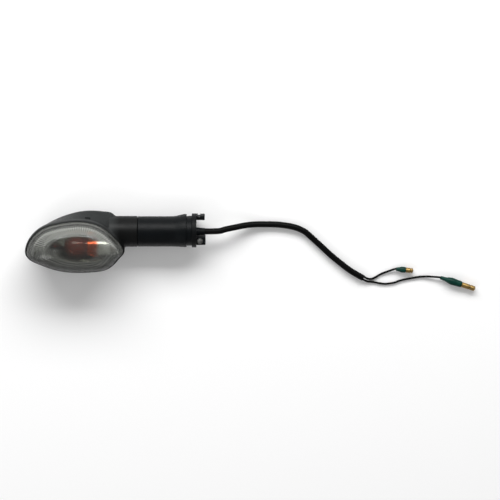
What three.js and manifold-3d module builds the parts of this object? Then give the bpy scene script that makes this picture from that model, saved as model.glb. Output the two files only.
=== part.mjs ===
// Motorcycle turn signal: teardrop lamp head, flexible rubber stalk, mount bracket and cable.
// Millimetres, +Z up. The lamp lies on its back: the lens faces +Z, +X runs from the head's tip
// along the stalk to the cable, and +Y is the lamp's upper side.
import * as THREE from 'three';
import { mergeVertices } from 'three/addons/utils/BufferGeometryUtils.js';
import Module from 'manifold-3d';

const wasm = await Module();
wasm.setup();

// ---------------------------------------------------------------- driving dimensions
const GAP = 0.3; // left between pieces that touch
const ROUND = 36; // sides of a turned piece
const RING = 56; // points round the head's outlines

// Head: the stalk axis is y = 0, z = 0 and the tip is at x = 0 while the lamp is modelled.
const HEAD_LENGTH = 75; // lens rim, from the tip to its far end
const HEAD_HEIGHT = 39.7; // lens rim, lower to upper edge
const HEAD_DROP = 8.25; // middle of the rim below the stalk axis
const HEAD_BACK = 13; // stalk axis to the flat back
const SHOULDER_DEPTH = 2; // widest section behind the stalk axis
const BACK_SHARE = 0.5; // flat back's size against the widest section
const HOUSING_WALL = 2.2;
const LEDGE_Z = 10.4; // seat of the lens, in front of the stalk axis
const LEDGE_WIDTH = 2.2;
const LEDGE_THICKNESS = 1.5;
const LIP_WALL = 0.9; // raised edge round the lens
const LIP_COVER = 1; // how far the lip overlaps the lens
const GASKET_THICKNESS = 1;
const DOME_HEIGHT = 17;
const DOME_POWER = 2.2; // 2 is an ellipse, more is squarer
const DOME_CENTRE = { along: 0.547, above: 1.25 }; // share of the length, and above the rim's middle
const LENS_WALL = 1.8;

// Snap tab and screw that hold the lens
const TAB_FROM_END = 27.5; // tab's middle from the rim's far end
const TAB_WIDTH = 3.4;
const TAB_THICKNESS = 1.5;
const HOOK_Z = 6.2;
const HOOK_HEIGHT = 1.6;
const SCREW_DROP = 3; // screw below the rim's middle
const SCREW_RADIUS = 1.45;
const SCREW_HEAD_RADIUS = 3.1;
const SCREW_HEAD_HEIGHT = 2.4;
const SCREW_SEAT_DEPTH = 2; // seat behind the stalk axis
const SCREW_REACH = 8; // tip in front of the stalk axis
const SEAL_THICKNESS = 0.8;
const POST_RADIUS = 2.8;
const POST_FOOT_Z = 1.5;
const BOSS_RADIUS = 4.6;

// Reflector
const REFLECTOR_SHARE = 0.72; // its edge against the lens rim
const REFLECTOR_WALL = 1.2;
const REFLECTOR_TOP_Z = 9.6;
const TROUGH_TOP_Z = 6;
const TROUGH_MARGIN = 1.2; // round the bulb glass
const TROUGH_FLOOR_SHARE = 0.5;

// Bulb and socket, measured along the bulb's axis
const BULB_DROP = 10.8; // below the stalk axis
const BULB_Z = 4; // in front of the stalk axis
const GLASS_RADIUS = 8.6;
const GLASS_LENGTH = 18; // seen outside the cap
const GLASS_WALL = 0.7;
const CAP_RADIUS = 7.5;
const CAP_LENGTH = 14.6;
const CAP_WALL = 0.4;
const CONTACT_LENGTH = 0.8;
const PIN_RADIUS = 1;
const PIN_HEIGHT = 1; // beyond the cap
const PIN_FROM_END = 6.2; // cap end to the pins
const PUSH_TRAVEL = 1.5;
const TURN_DEGREES = 20;
const SHELL_WALL = 0.4;
const SHELL_LENGTH = 13.7;
const PLUNGER_RADIUS = 4.4;
const PLUNGER_THICKNESS = 1.2;
const SPRING_LENGTH = 4;
const SPRING_RADIUS = 3;
const SPRING_WIRE = 0.25; // radius
const SPRING_TURNS = 3;
const CUP_WALL = 0.9;
const SOCKET_SETBACK = 5; // socket's end from the rim's far end

// Neck, stalk and mount
const NECK_RADIUS = 11.8;
const NECK_LENGTH = 10.7; // beyond the rim's far end
const NECK_BORE = 7.2;
const SPIGOT_RADIUS = 8.4;
const SPIGOT_LENGTH = 9;
const STALK_RADIUS = 11.6;
const STALK_LENGTH = 37; // seam to the mounting groove
const STALK_BORE = 3.2;
const FLARE_RADIUS = 12.7;
const FLARE_LENGTH = 11;
const FLARE_RISE = 0.7; // flare's middle above the stalk axis
const GROOVE_WIDTH = 4;
const GROOVE_RADIUS = 11.4;
const GROOVE_RISE = 0.5;
const FLANGE_RADIUS = 13;
const FLANGE_THICKNESS = 3.5;
const FLANGE_RISE = 0.8;
const UPPER_LUG = { length: 6.4, low: 9.9, high: 13.4, width: 6.4, slot: 2, slotDepth: 1 };
const LOWER_LUG = { length: 7, low: -9.8, high: -3.5, width: 8 };
const BUSH_RADIUS = 2.1;
const BUSH_BORE = 1.4;
const BUSH_SET = 2.7; // bush axis from the flange

// Cable
const CABLE_RADIUS = 2.35;
const LEAD_RADIUS = 0.8;
const GROMMET_RADIUS = 3.1;
const GROMMET_OUT = 6.4; // beyond the flange
const SEAL_LENGTH = 6; // neck seal

// Route of the free cable from the grommet's end: along, across, height over the surface.
const SHEATH_ROUTE = [
  [0, 0, 13], [6, 0, 12.8], [11.5, 0.1, 12.1], [15.3, 0.9, 11], [23, 1.8, 8.5], [30.7, 2.5, 5.8],
  [38.3, 2.7, 3.8], [46, 2.4, 2.7], [53.7, 2.2, 2.5], [61.4, 1.4, 2.5], [69, -0.2, 2.5],
  [72.9, -1.8, 2.5], [76.7, -3.9, 2.5], [80.5, -7.4, 2.5], [88.2, -14.7, 2.5], [95.9, -22.2, 2.5],
  [103.5, -28.8, 2.5], [111.2, -34.9, 2.5], [118.9, -39.7, 2.5], [121.2, -40.9, 2.5],
];
// Routes of the two wires from the sheath's end, in the same way.
const SIGNAL_ROUTE = [
  [-0.2, -1.1, 2.5], [3, -3, 1.7], [6.7, -3.7, 1.1], [9.2, -4.1, 1], [13, -4.9, 1], [16.9, -5.3, 1],
  [20.7, -4.9, 1], [24.5, -4.1, 1], [28.4, -2.6, 1], [36, -0.9, 1], [43.7, 0.5, 1.2], [49.5, 0.9, 1.8],
  [55.2, 0.8, 2.6], [58.7, 0.6, 2.9],
];
const GROUND_ROUTE = [
  [0.8, 0.8, 2.5], [3.5, -0.9, 1.7], [6.5, -1.2, 1.2], [9.4, 0, 1], [13, 2.3, 1], [16.9, 4.1, 1.2],
  [20.7, 5.7, 1.8], [24.6, 7.2, 2.4],
];
// Plugs: sleeve profile as [along, radius], exposed bullet length, and heading from +X in degrees.
const SIGNAL_PLUG = {
  sleeve: [[0, 1.3], [4, 1.6], [8.5, 2.7], [12.5, 2.6], [17, 2.3]], bullet: 11, heading: -19,
};
const GROUND_PLUG = {
  sleeve: [[0, 1.3], [2.4, 1.7], [4.4, 2.3], [7.4, 2.1]], bullet: 5.6, heading: -6,
};
const BULLET_RADIUS = 1.95;

// ---------------------------------------------------------------- derived places
const RIM_MIDDLE = -HEAD_DROP;
const LENS_BASE_Z = LEDGE_Z + GASKET_THICKNESS + 2 * GAP;
const LIP_TOP_Z = LENS_BASE_Z + LIP_COVER;
const LIP_OUT = GAP + LIP_WALL;
const NECK_END = HEAD_LENGTH + NECK_LENGTH;
const SPIGOT_END = NECK_END + SPIGOT_LENGTH;
const STALK_START = NECK_END + GAP;
const GROOVE_START = STALK_START + STALK_LENGTH;
const STALK_END = GROOVE_START + GROOVE_WIDTH - GAP;
const FLANGE_START = STALK_END + GAP;
const FLANGE_END = FLANGE_START + FLANGE_THICKNESS;
const MOUNT_SPIGOT_START = FLANGE_START - SPIGOT_LENGTH;
const GROMMET_END = FLANGE_END + GROMMET_OUT;

const BULB_Y = -BULB_DROP;
const PLUNGER_RUN = PLUNGER_THICKNESS + GAP + SPRING_LENGTH + GAP;
const SOCKET_END = HEAD_LENGTH - SOCKET_SETBACK;
const PLUNGER_START = SOCKET_END - CUP_WALL - PLUNGER_RUN;
const BULB_END = PLUNGER_START - GAP;
const CAP_END = BULB_END - GAP - CONTACT_LENGTH;
const CAP_START = CAP_END - CAP_LENGTH;
const BULB_TIP = CAP_START - GLASS_LENGTH;
const PIN_X = CAP_END - PIN_FROM_END;
const SHELL_BORE = CAP_RADIUS + GAP;
const SHELL_RADIUS = SHELL_BORE + SHELL_WALL;
const SHELL_END = CAP_END + PUSH_TRAVEL + GAP + 2 * SHELL_WALL;
const SHELL_START = SHELL_END - SHELL_LENGTH;
const CUP_BORE = PLUNGER_RADIUS + GAP;
const CUP_RADIUS = CUP_BORE + CUP_WALL;
const CUP_START = SHELL_END + GAP;
const TROUGH_RADIUS = GLASS_RADIUS + TROUGH_MARGIN;
const TROUGH_START = BULB_TIP - 14;
const TROUGH_END = SOCKET_END - 4;
const TROUGH_FLOOR_Z = BULB_Z - TROUGH_RADIUS - GAP;
const TAB_X = HEAD_LENGTH - TAB_FROM_END;

// ---------------------------------------------------------------- materials
const material = (color, roughness, metalness = 0, opacity = 1) => new THREE.MeshStandardMaterial({
  color, roughness, metalness, opacity, transparent: opacity < 1, flatShading: true,
});
const clearPlastic = material(0xb9bdb8, 0.12, 0, 0.45);
const darkPlastic = material(0x3b3d3c, 0.45);
const blackPlastic = material(0x17181a, 0.5);
const rubber = material(0x121416, 0.7);
const silverCoat = material(0xc9cbc9, 0.15, 1);
const amberGlass = material(0x6b1f10, 0.08, 0, 0.7);
const clearGlass = material(0xd8dedc, 0.05, 0, 0.5);
const tungsten = material(0x55565a, 0.4, 1);
const plated = material(0xb6b6b0, 0.25, 1);
const brass = material(0xa8823c, 0.35, 1);
const resin = material(0x3a2416, 0.6);
const cablePvc = material(0x161616, 0.5);
const greenPvc = material(0x1d6b57, 0.45);

// ---------------------------------------------------------------- shape helpers
/** Position-only geometry: vertices merged, slivers dropped, faces pointing out. */
function closed(geometry) {
  geometry.deleteAttribute('normal');
  geometry.deleteAttribute('uv');
  const merged = mergeVertices(geometry, 1e-4);
  const corner = [new THREE.Vector3(), new THREE.Vector3(), new THREE.Vector3()];
  const kept = [];
  let volume = 0;
  for (let i = 0; i < merged.index.count; i += 3) {
    const ids = [0, 1, 2].map((k) => merged.index.getX(i + k));
    if (new Set(ids).size < 3) continue;
    kept.push(ids);
    ids.forEach((id, k) => corner[k].fromBufferAttribute(merged.attributes.position, id));
    volume += corner[0].dot(corner[1].clone().cross(corner[2]));
  }
  merged.setIndex(kept.flatMap(([a, b, c]) => (volume < 0 ? [a, c, b] : [a, b, c])));
  return merged;
}

/** A geometry as a manifold solid, for joining and cutting. */
function solid(geometry) {
  const shape = closed(geometry);
  const vertProperties = Float32Array.from(shape.attributes.position.array);
  const triVerts = Uint32Array.from(shape.index.array);
  return new wasm.Manifold(new wasm.Mesh({ numProp: 3, vertProperties, triVerts }));
}

/** A manifold solid back as a geometry. */
function geometryOf(manifold) {
  const mesh = manifold.getMesh();
  const geometry = new THREE.BufferGeometry();
  geometry.setAttribute('position', new THREE.BufferAttribute(Float32Array.from(mesh.vertProperties), 3));
  geometry.setIndex(Array.from(mesh.triVerts));
  return geometry;
}

/** Solid skinned over rings of equal count, each end closed by a fan from its middle. */
function skin(rings) {
  const count = rings[0].length;
  const middle = (ring) => ring.reduce((sum, p) => sum.add(p), new THREE.Vector3()).divideScalar(count);
  const points = [...rings.flat(), middle(rings[0]), middle(rings.at(-1))];
  const foot = rings.length * count;
  const index = [];
  for (let i = 0; i < count; i += 1) {
    const j = (i + 1) % count;
    const top = (rings.length - 1) * count;
    index.push(foot, j, i, foot + 1, top + i, top + j);
    for (let k = 0; k + 1 < rings.length; k += 1) {
      const low = k * count;
      const high = low + count;
      index.push(low + i, low + j, high + j, low + i, high + j, high + i);
    }
  }
  const geometry = new THREE.BufferGeometry().setFromPoints(points);
  geometry.setIndex(index);
  return geometry;
}

/** Turned piece about an axis along X through (y, z); profile points are [x, radius]. */
function turned(profile, y = 0, z = 0, sides = ROUND) {
  const points = profile.map(([x, r]) => new THREE.Vector2(r, x));
  return new THREE.LatheGeometry(points, sides).rotateZ(-Math.PI / 2).translate(0, y, z);
}

/** Turned piece about an upright axis through (x, y); profile points are [z, radius]. */
function upright(profile, x, y, sides = ROUND) {
  const points = profile.map(([z, r]) => new THREE.Vector2(r, z));
  return new THREE.LatheGeometry(points, sides).rotateX(Math.PI / 2).translate(x, y, 0);
}

const rodProfile = (a, b, r) => [[a, 0], [a, r], [b, r], [b, 0]];
const rodX = (x0, x1, r, y = 0, z = 0, sides = ROUND) => turned(rodProfile(x0, x1, r), y, z, sides);
const rodZ = (z0, z1, r, x, y, sides = ROUND) => upright(rodProfile(z0, z1, r), x, y, sides);
const pipeProfile = (a, b, inner, outer) => [[a, inner], [a, outer], [b, outer], [b, inner], [a, inner]];

/** Box between two opposite corners. */
function block([x0, y0, z0], [x1, y1, z1]) {
  const box = new THREE.BoxGeometry(x1 - x0, y1 - y0, z1 - z0);
  return box.translate((x0 + x1) / 2, (y0 + y1) / 2, (z0 + z1) / 2);
}

/** Round tube along a smooth curve through the points. */
function tube(points, radius, sides, steps) {
  const section = new THREE.Shape();
  for (let i = 0; i < sides; i += 1) {
    const turn = (2 * Math.PI * i) / sides;
    const x = radius * Math.cos(turn);
    const y = radius * Math.sin(turn);
    if (i === 0) section.moveTo(x, y);
    else section.lineTo(x, y);
  }
  const extrudePath = new THREE.CatmullRomCurve3(points.map((p) => new THREE.Vector3(...p)));
  return new THREE.ExtrudeGeometry(section, { steps, extrudePath, bevelEnabled: false });
}

// ---------------------------------------------------------------- head outlines
// Both outlines run from the tip round the lower edge, as shares of the rim's length and height.
const RIM_SHAPE = [
  [0.011, -0.125], [0.045, -0.238], [0.16, -0.352], [0.373, -0.48], [0.627, -0.5], [0.833, -0.43],
  [0.947, -0.221], [0.995, -0.08], [0.887, 0.215], [0.747, 0.42], [0.573, 0.5], [0.347, 0.46],
  [0.16, 0.339], [0.045, 0.107],
];
const SHOULDER_SHAPE = [
  [0.04, -0.12], [0.08, -0.232], [0.187, -0.334], [0.387, -0.455], [0.627, -0.473], [0.813, -0.409],
  [0.933, -0.234], [1.013, -0.045], [0.9, 0.528], [0.773, 0.588], [0.573, 0.588], [0.347, 0.463],
  [0.173, 0.277], [0.07, 0.08],
];
const BOWL_MIDDLE = { along: 0.56, above: 3.5 }; // the back narrows towards here

/** Closed smooth outline moved out by grow, at height z, shrunk to share of its size about a point. */
function outline(shape, grow, z, share = 1, about = BOWL_MIDDLE) {
  const cx = about.along * HEAD_LENGTH;
  const cy = RIM_MIDDLE + about.above;
  const corners = shape.map(([u, w]) => new THREE.Vector3(
    cx + share * (u * HEAD_LENGTH - cx),
    cy + share * (RIM_MIDDLE + w * HEAD_HEIGHT - cy),
    z,
  ));
  const ring = new THREE.CatmullRomCurve3(corners, true).getPoints(RING).slice(0, RING);
  return ring.map((p, i) => {
    const along = ring[(i + 1) % RING].clone().sub(ring[(i + RING - 1) % RING]).normalize();
    return new THREE.Vector3(p.x + grow * along.y, p.y - grow * along.x, z);
  });
}

/** Upper y of a ring where it passes x. */
function upperEdge(ring, x) {
  let best = -Infinity;
  ring.forEach((p, i) => {
    const q = ring[(i + 1) % ring.length];
    if ((p.x - x) * (q.x - x) > 0) return;
    best = Math.max(best, p.y + ((q.y - p.y) * (x - p.x)) / (q.x - p.x));
  });
  return best;
}

/** Rings of the bowl from its flat back up to the widest section, moved in by wall. */
function bowlRings(wall) {
  const rings = [];
  for (const degrees of [90, 72, 54, 36, 18, 0]) {
    const angle = THREE.MathUtils.degToRad(degrees);
    const share = 1 - (1 - BACK_SHARE) * (1 - Math.cos(angle));
    const z = -SHOULDER_DEPTH - (HEAD_BACK - wall - SHOULDER_DEPTH) * Math.sin(angle);
    rings.push(outline(SHOULDER_SHAPE, -wall, z, share));
  }
  return rings;
}

/** Rings of the lens dome from its base up, moved in by wall. */
function domeRings(wall) {
  const cx = DOME_CENTRE.along * HEAD_LENGTH;
  const cy = RIM_MIDDLE + DOME_CENTRE.above;
  const base = outline(RIM_SHAPE, -wall, LENS_BASE_Z);
  return [0, 14, 28, 42, 56, 70, 83].map((degrees) => {
    const angle = THREE.MathUtils.degToRad(degrees);
    const share = Math.cos(angle) ** (2 / DOME_POWER);
    const z = LENS_BASE_Z + (DOME_HEIGHT - wall) * Math.sin(angle) ** (2 / DOME_POWER);
    return base.map((p) => new THREE.Vector3(cx + share * (p.x - cx), cy + share * (p.y - cy), z));
  });
}

const REFLECTOR_MIDDLE = { along: 0.6, above: 0 };
const reflectorEdge = (grow, z) => outline(RIM_SHAPE, grow, z, REFLECTOR_SHARE, REFLECTOR_MIDDLE);
const SCREW_X = Math.min(...reflectorEdge(0, 0).map((p) => p.x)) - POST_RADIUS - 2 * GAP;
const SCREW_Y = RIM_MIDDLE - SCREW_DROP;

// ---------------------------------------------------------------- head
const pieces = new THREE.Group();

/** Adds one named piece to the lamp. */
function add(name, geometry, finish) {
  const mesh = new THREE.Mesh(closed(geometry), finish);
  mesh.name = name;
  pieces.add(mesh);
}

function housing() {
  const outer = solid(skin([
    ...bowlRings(0),
    outline(RIM_SHAPE, LIP_OUT, LEDGE_Z - LEDGE_THICKNESS),
    outline(RIM_SHAPE, LIP_OUT, LIP_TOP_Z),
  ]));
  const hollow = solid(skin([
    ...bowlRings(HOUSING_WALL),
    outline(RIM_SHAPE, -LEDGE_WIDTH, LEDGE_Z - LEDGE_THICKNESS),
    outline(RIM_SHAPE, -LEDGE_WIDTH, LIP_TOP_Z),
  ]));
  const lensPocket = solid(skin([outline(RIM_SHAPE, GAP, LEDGE_Z), outline(RIM_SHAPE, GAP, 2 * LIP_TOP_Z)]));
  const neckRoot = HEAD_LENGTH - NECK_RADIUS;
  const neck = solid(turned([
    [neckRoot, 0], [neckRoot, NECK_RADIUS], [NECK_END - GAP, NECK_RADIUS], [NECK_END, NECK_RADIUS - GAP],
    [NECK_END, SPIGOT_RADIUS], [SPIGOT_END, SPIGOT_RADIUS], [SPIGOT_END, 0],
  ]));
  const bore = solid(rodX(neckRoot, SPIGOT_END + 1, NECK_BORE));
  let body = outer.add(neck).subtract(hollow).subtract(lensPocket).subtract(bore);

  const boss = solid(rodZ(-HEAD_BACK, POST_FOOT_Z - GAP, BOSS_RADIUS, SCREW_X, SCREW_Y, 24));
  body = body.add(boss.intersect(outer));
  for (const x of [BULB_TIP + 4, SHELL_START]) {
    const top = TROUGH_FLOOR_Z - REFLECTOR_WALL - GAP;
    const rib = block([x, BULB_Y - 6, -HEAD_BACK], [x + HOUSING_WALL, BULB_Y + 6, top]);
    body = body.add(solid(rib).intersect(outer));
  }
  const shellRelief = rodX(SHELL_START - 1, SHELL_END + GAP, CAP_RADIUS + PIN_HEIGHT + GAP, BULB_Y, BULB_Z);
  const cupRelief = rodX(CUP_START - 1, SOCKET_END + GAP, CUP_RADIUS + GAP, BULB_Y, BULB_Z);
  const wireWay = rodX(CUP_START, SOCKET_END + 3.5, CUP_BORE, BULB_Y + CUP_RADIUS, BULB_Z / 2);
  for (const cut of [shellRelief, cupRelief, wireWay]) body = body.subtract(solid(cut));
  const seat = -SCREW_SEAT_DEPTH;
  body = body.subtract(solid(rodZ(-HEAD_BACK - 1, seat, SCREW_HEAD_RADIUS + GAP, SCREW_X, SCREW_Y, 24)));
  body = body.subtract(solid(rodZ(seat - 1, POST_FOOT_Z, SCREW_RADIUS + GAP, SCREW_X, SCREW_Y, 24)));
  const rimY = upperEdge(outline(RIM_SHAPE, 0, 0), TAB_X);
  const half = TAB_WIDTH / 2 + GAP;
  const windowTop = HOOK_Z + HOOK_HEIGHT + GAP;
  const window = block([TAB_X - half, rimY - 8, HOOK_Z - GAP], [TAB_X + half, rimY + 8, windowTop]);
  return geometryOf(body.subtract(solid(window)));
}

function lens() {
  const outer = solid(skin(domeRings(0)));
  const inside = domeRings(LENS_WALL);
  const foot = inside[0].map((p) => new THREE.Vector3(p.x, p.y, LENS_BASE_Z - 1));
  let body = outer.subtract(solid(skin([foot, ...inside])));
  const post = solid(rodZ(POST_FOOT_Z, LENS_BASE_Z + DOME_HEIGHT, POST_RADIUS, SCREW_X, SCREW_Y, 24));
  const above = block([-HEAD_LENGTH, -HEAD_LENGTH, LENS_BASE_Z], [HEAD_LENGTH, HEAD_LENGTH, HEAD_LENGTH]);
  const belowBase = post.subtract(solid(above));
  body = body.add(post.intersect(outer)).add(belowBase);
  const pilot = rodZ(POST_FOOT_Z - 1, SCREW_REACH + GAP, SCREW_RADIUS + GAP, SCREW_X, SCREW_Y, 24);
  body = body.subtract(solid(pilot));

  const rimY = upperEdge(outline(RIM_SHAPE, 0, 0), TAB_X);
  const half = TAB_WIDTH / 2;
  const inner = rimY - LEDGE_WIDTH - 2 * GAP;
  const web = block([TAB_X - half, inner - TAB_THICKNESS, LENS_BASE_Z],
    [TAB_X + half, rimY - LENS_WALL / 2, LENS_BASE_Z + LENS_WALL]);
  const leg = block([TAB_X - half, inner - TAB_THICKNESS, HOOK_Z], [TAB_X + half, inner, LENS_BASE_Z + GAP]);
  const hook = block([TAB_X - half, inner - TAB_THICKNESS, HOOK_Z],
    [TAB_X + half, rimY + LIP_OUT / 2, HOOK_Z + HOOK_HEIGHT]);
  return geometryOf(body.add(solid(web)).add(solid(leg)).add(solid(hook)));
}

function lensGasket() {
  const low = LEDGE_Z + GAP;
  const high = low + GASKET_THICKNESS;
  const outer = solid(skin([outline(RIM_SHAPE, 0, low), outline(RIM_SHAPE, 0, high)]));
  const inner = -LEDGE_WIDTH + GAP / 2;
  const opening = skin([outline(RIM_SHAPE, inner, low - 1), outline(RIM_SHAPE, inner, high + 1)]);
  return geometryOf(outer.subtract(solid(opening)));
}

function lensScrew() {
  const under = -SCREW_SEAT_DEPTH - SEAL_THICKNESS - 2 * GAP;
  const end = under - SCREW_HEAD_HEIGHT;
  const body = solid(upright([
    [end, 0], [end, SCREW_HEAD_RADIUS - 0.6], [end + 0.6, SCREW_HEAD_RADIUS], [under, SCREW_HEAD_RADIUS],
    [under, SCREW_RADIUS], [SCREW_REACH - SCREW_RADIUS, SCREW_RADIUS], [SCREW_REACH, 0],
  ], SCREW_X, SCREW_Y, 24));
  const slotFloor = end + SCREW_HEAD_HEIGHT / 2;
  const slot = (halfX, halfY) => solid(
    block([SCREW_X - halfX, SCREW_Y - halfY, end - 1], [SCREW_X + halfX, SCREW_Y + halfY, slotFloor]));
  const reach = SCREW_HEAD_RADIUS * 0.6;
  return geometryOf(body.subtract(slot(reach, 0.4).add(slot(0.4, reach))));
}

function screwSeal() {
  const top = -SCREW_SEAT_DEPTH - GAP;
  const ring = pipeProfile(top - SEAL_THICKNESS, top, SCREW_RADIUS + GAP, SCREW_HEAD_RADIUS);
  return upright(ring, SCREW_X, SCREW_Y, 24);
}

/** Rings of the reflector: a long trough round the bulb that opens into a sloping flange. */
function reflectorRings(wall) {
  const cx = (TROUGH_START + TROUGH_END) / 2;
  const a = (TROUGH_END - TROUGH_START) / 2 + wall;
  const b = TROUGH_RADIUS + wall;
  const depth = TROUGH_TOP_Z - TROUGH_FLOOR_Z;
  const rings = [90, 65, 42, 20, 0].map((degrees) => {
    const angle = THREE.MathUtils.degToRad(degrees);
    const share = 1 - (1 - TROUGH_FLOOR_SHARE) * (1 - Math.cos(angle));
    const z = TROUGH_TOP_Z - wall - depth * Math.sin(angle);
    return Array.from({ length: RING }, (_, i) => {
      const turn = Math.PI + (2 * Math.PI * i) / RING;
      return new THREE.Vector3(cx + a * share * Math.cos(turn), BULB_Y + b * share * Math.sin(turn), z);
    });
  });
  return rings;
}

function reflector() {
  const outer = solid(skin([
    ...reflectorRings(REFLECTOR_WALL),
    reflectorEdge(0, REFLECTOR_TOP_Z - REFLECTOR_WALL),
    reflectorEdge(0, REFLECTOR_TOP_Z),
  ]));
  const hollow = solid(skin([
    ...reflectorRings(0),
    reflectorEdge(-REFLECTOR_WALL / 2, REFLECTOR_TOP_Z - GAP),
    reflectorEdge(-REFLECTOR_WALL / 2, REFLECTOR_TOP_Z + 1),
  ]));
  const socketHole = rodX(SHELL_START - GAP, HEAD_LENGTH, CAP_RADIUS + PIN_HEIGHT + GAP, BULB_Y, BULB_Z);
  return geometryOf(outer.subtract(hollow).subtract(solid(socketHole)));
}

// ---------------------------------------------------------------- bulb
function bulbGlass() {
  const neck = CAP_RADIUS - CAP_WALL - GAP;
  const neckEnd = CAP_START + CAP_LENGTH / 3;
  const half = [0, 20, 40, 60, 80];
  const shell = (wall) => {
    const r = GLASS_RADIUS - wall;
    const dome = half.map((degrees) => {
      const angle = THREE.MathUtils.degToRad(degrees);
      return [BULB_TIP + GLASS_RADIUS - r * Math.cos(angle), r * Math.sin(angle)];
    });
    const inNeck = neck - wall;
    return [...dome, [BULB_TIP + GLASS_RADIUS, r], [CAP_START - 5, r - 0.1],
      [CAP_START - 2.5, (r + inNeck) / 2], [CAP_START - GAP, inNeck], [neckEnd, inNeck]];
  };
  return turned([...shell(0), ...shell(GLASS_WALL).reverse()], BULB_Y, BULB_Z, 28);
}

function bulbStem() {
  const flare = CAP_RADIUS - CAP_WALL - GLASS_WALL - 3 * GAP;
  return turned([
    [CAP_START - 4, 0], [CAP_START - 4, 1.6], [CAP_START, 2.2],
    [CAP_START + 4, flare], [CAP_START + 5, flare], [CAP_START + 5, 0],
  ], BULB_Y, BULB_Z, 16);
}

function bulbFilament() {
  const foot = CAP_START - 4 - GAP;
  const coil = foot - 6;
  const side = [[foot, 1], [foot - 3, 2.6], [coil + 0.8, 3.2], [coil, 2.6]];
  const route = [...side, ...side.map(([x, y]) => [x, -y]).reverse()];
  return tube(route.map(([x, y]) => [x, BULB_Y + y, BULB_Z]), 0.3, 6, 24);
}

function bulbCap() {
  const mouth = CAP_RADIUS - CAP_WALL;
  const hole = CAP_RADIUS - 1.9;
  const shell = solid(turned([
    [CAP_START, mouth], [CAP_START, CAP_RADIUS], [CAP_END - 1, CAP_RADIUS], [CAP_END, CAP_RADIUS - 0.9],
    [CAP_END, hole], [CAP_END - 0.8, hole], [CAP_END - 0.8, CAP_RADIUS - 1.3],
    [CAP_END - 1.4, mouth], [CAP_START, mouth],
  ], BULB_Y, BULB_Z, 32));
  const reach = CAP_RADIUS + PIN_HEIGHT;
  const pin = (from, to) => {
    const length = to - from;
    return solid(new THREE.CylinderGeometry(PIN_RADIUS, PIN_RADIUS, length, 12)
      .translate(PIN_X, BULB_Y + (from + to) / 2, BULB_Z));
  };
  const inside = mouth - 0.3;
  return geometryOf(shell.add(pin(inside, reach)).add(pin(-reach, -inside)));
}

const bulbInsulator = () => rodX(CAP_END - 1.2, CAP_END, CAP_RADIUS - 1.9 - GAP, BULB_Y, BULB_Z, 24);

function bulbContact() {
  const start = CAP_END + GAP;
  return turned([[start, 0], [start, 2.4], [start + CONTACT_LENGTH / 2, 2.2], [start + CONTACT_LENGTH, 1.2],
    [start + CONTACT_LENGTH, 0]], BULB_Y, BULB_Z, 20);
}

// ---------------------------------------------------------------- socket
function socketShell() {
  const wall = 2 * SHELL_WALL;
  let shell = solid(turned([
    [SHELL_START, SHELL_BORE], [SHELL_START, SHELL_RADIUS], [SHELL_END, SHELL_RADIUS],
    [SHELL_END, PLUNGER_RADIUS + GAP], [SHELL_END - wall, PLUNGER_RADIUS + GAP],
    [SHELL_END - wall, SHELL_BORE], [SHELL_START, SHELL_BORE],
  ], BULB_Y, BULB_Z));
  const room = PIN_RADIUS + GAP;
  const turn = THREE.MathUtils.degToRad(TURN_DEGREES);
  const sweep = SHELL_RADIUS * Math.sin(turn) + room;
  const far = PIN_X + PUSH_TRAVEL + room;
  const inner = CAP_RADIUS * 0.8;
  const outer = SHELL_RADIUS + 1;
  for (const side of [0, Math.PI]) {
    const cross = block([PIN_X - room, inner, -room], [far, outer, sweep]);
    const entry = block([SHELL_START - 1, inner, -room], [far, outer, room]).rotateX(turn);
    for (const cut of [cross, entry]) {
      shell = shell.subtract(solid(cut.rotateX(side).translate(0, BULB_Y, BULB_Z)));
    }
  }
  return geometryOf(shell);
}

function socketCup() {
  const floor = SOCKET_END - CUP_WALL;
  const wireHole = LEAD_RADIUS;
  return turned([
    [CUP_START, CUP_BORE], [CUP_START, CUP_RADIUS], [SOCKET_END, CUP_RADIUS], [SOCKET_END, wireHole],
    [floor, wireHole], [floor, CUP_BORE], [CUP_START, CUP_BORE],
  ], BULB_Y, BULB_Z, 28);
}

const plungerDisc = () => turned(
  pipeProfile(PLUNGER_START, PLUNGER_START + PLUNGER_THICKNESS, 1.5, PLUNGER_RADIUS), BULB_Y, BULB_Z, 24);

function centreContact() {
  return rodX(PLUNGER_START, PLUNGER_START + PLUNGER_THICKNESS, 1.5 - GAP, BULB_Y, BULB_Z, 16);
}

function contactSpring() {
  const start = PLUNGER_START + PLUNGER_THICKNESS + GAP + SPRING_WIRE;
  const run = SPRING_LENGTH - 2 * SPRING_WIRE;
  const steps = SPRING_TURNS * 10;
  const route = Array.from({ length: steps + 1 }, (_, i) => {
    const turn = (2 * Math.PI * SPRING_TURNS * i) / steps;
    const y = BULB_Y + SPRING_RADIUS * Math.cos(turn);
    const z = BULB_Z + SPRING_RADIUS * Math.sin(turn);
    return [start + (run * i) / steps, y, z];
  });
  return tube(route, SPRING_WIRE, 6, steps);
}

/** Bent strip on the shell's end wall that takes the ground lead. */
function groundTerminal() {
  const x = SHELL_END + GAP;
  const low = BULB_Y + CUP_RADIUS + GAP;
  const thick = 0.6;
  const foot = block([x, low, BULB_Z - 1.5], [x + thick, BULB_Y + SHELL_RADIUS, BULB_Z + 1.5]);
  const strip = block([x, low + 1, BULB_Z - 1.5], [SOCKET_END - 1, low + 1 + thick, BULB_Z + 1.5]);
  return geometryOf(solid(foot).add(solid(strip)));
}

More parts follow.
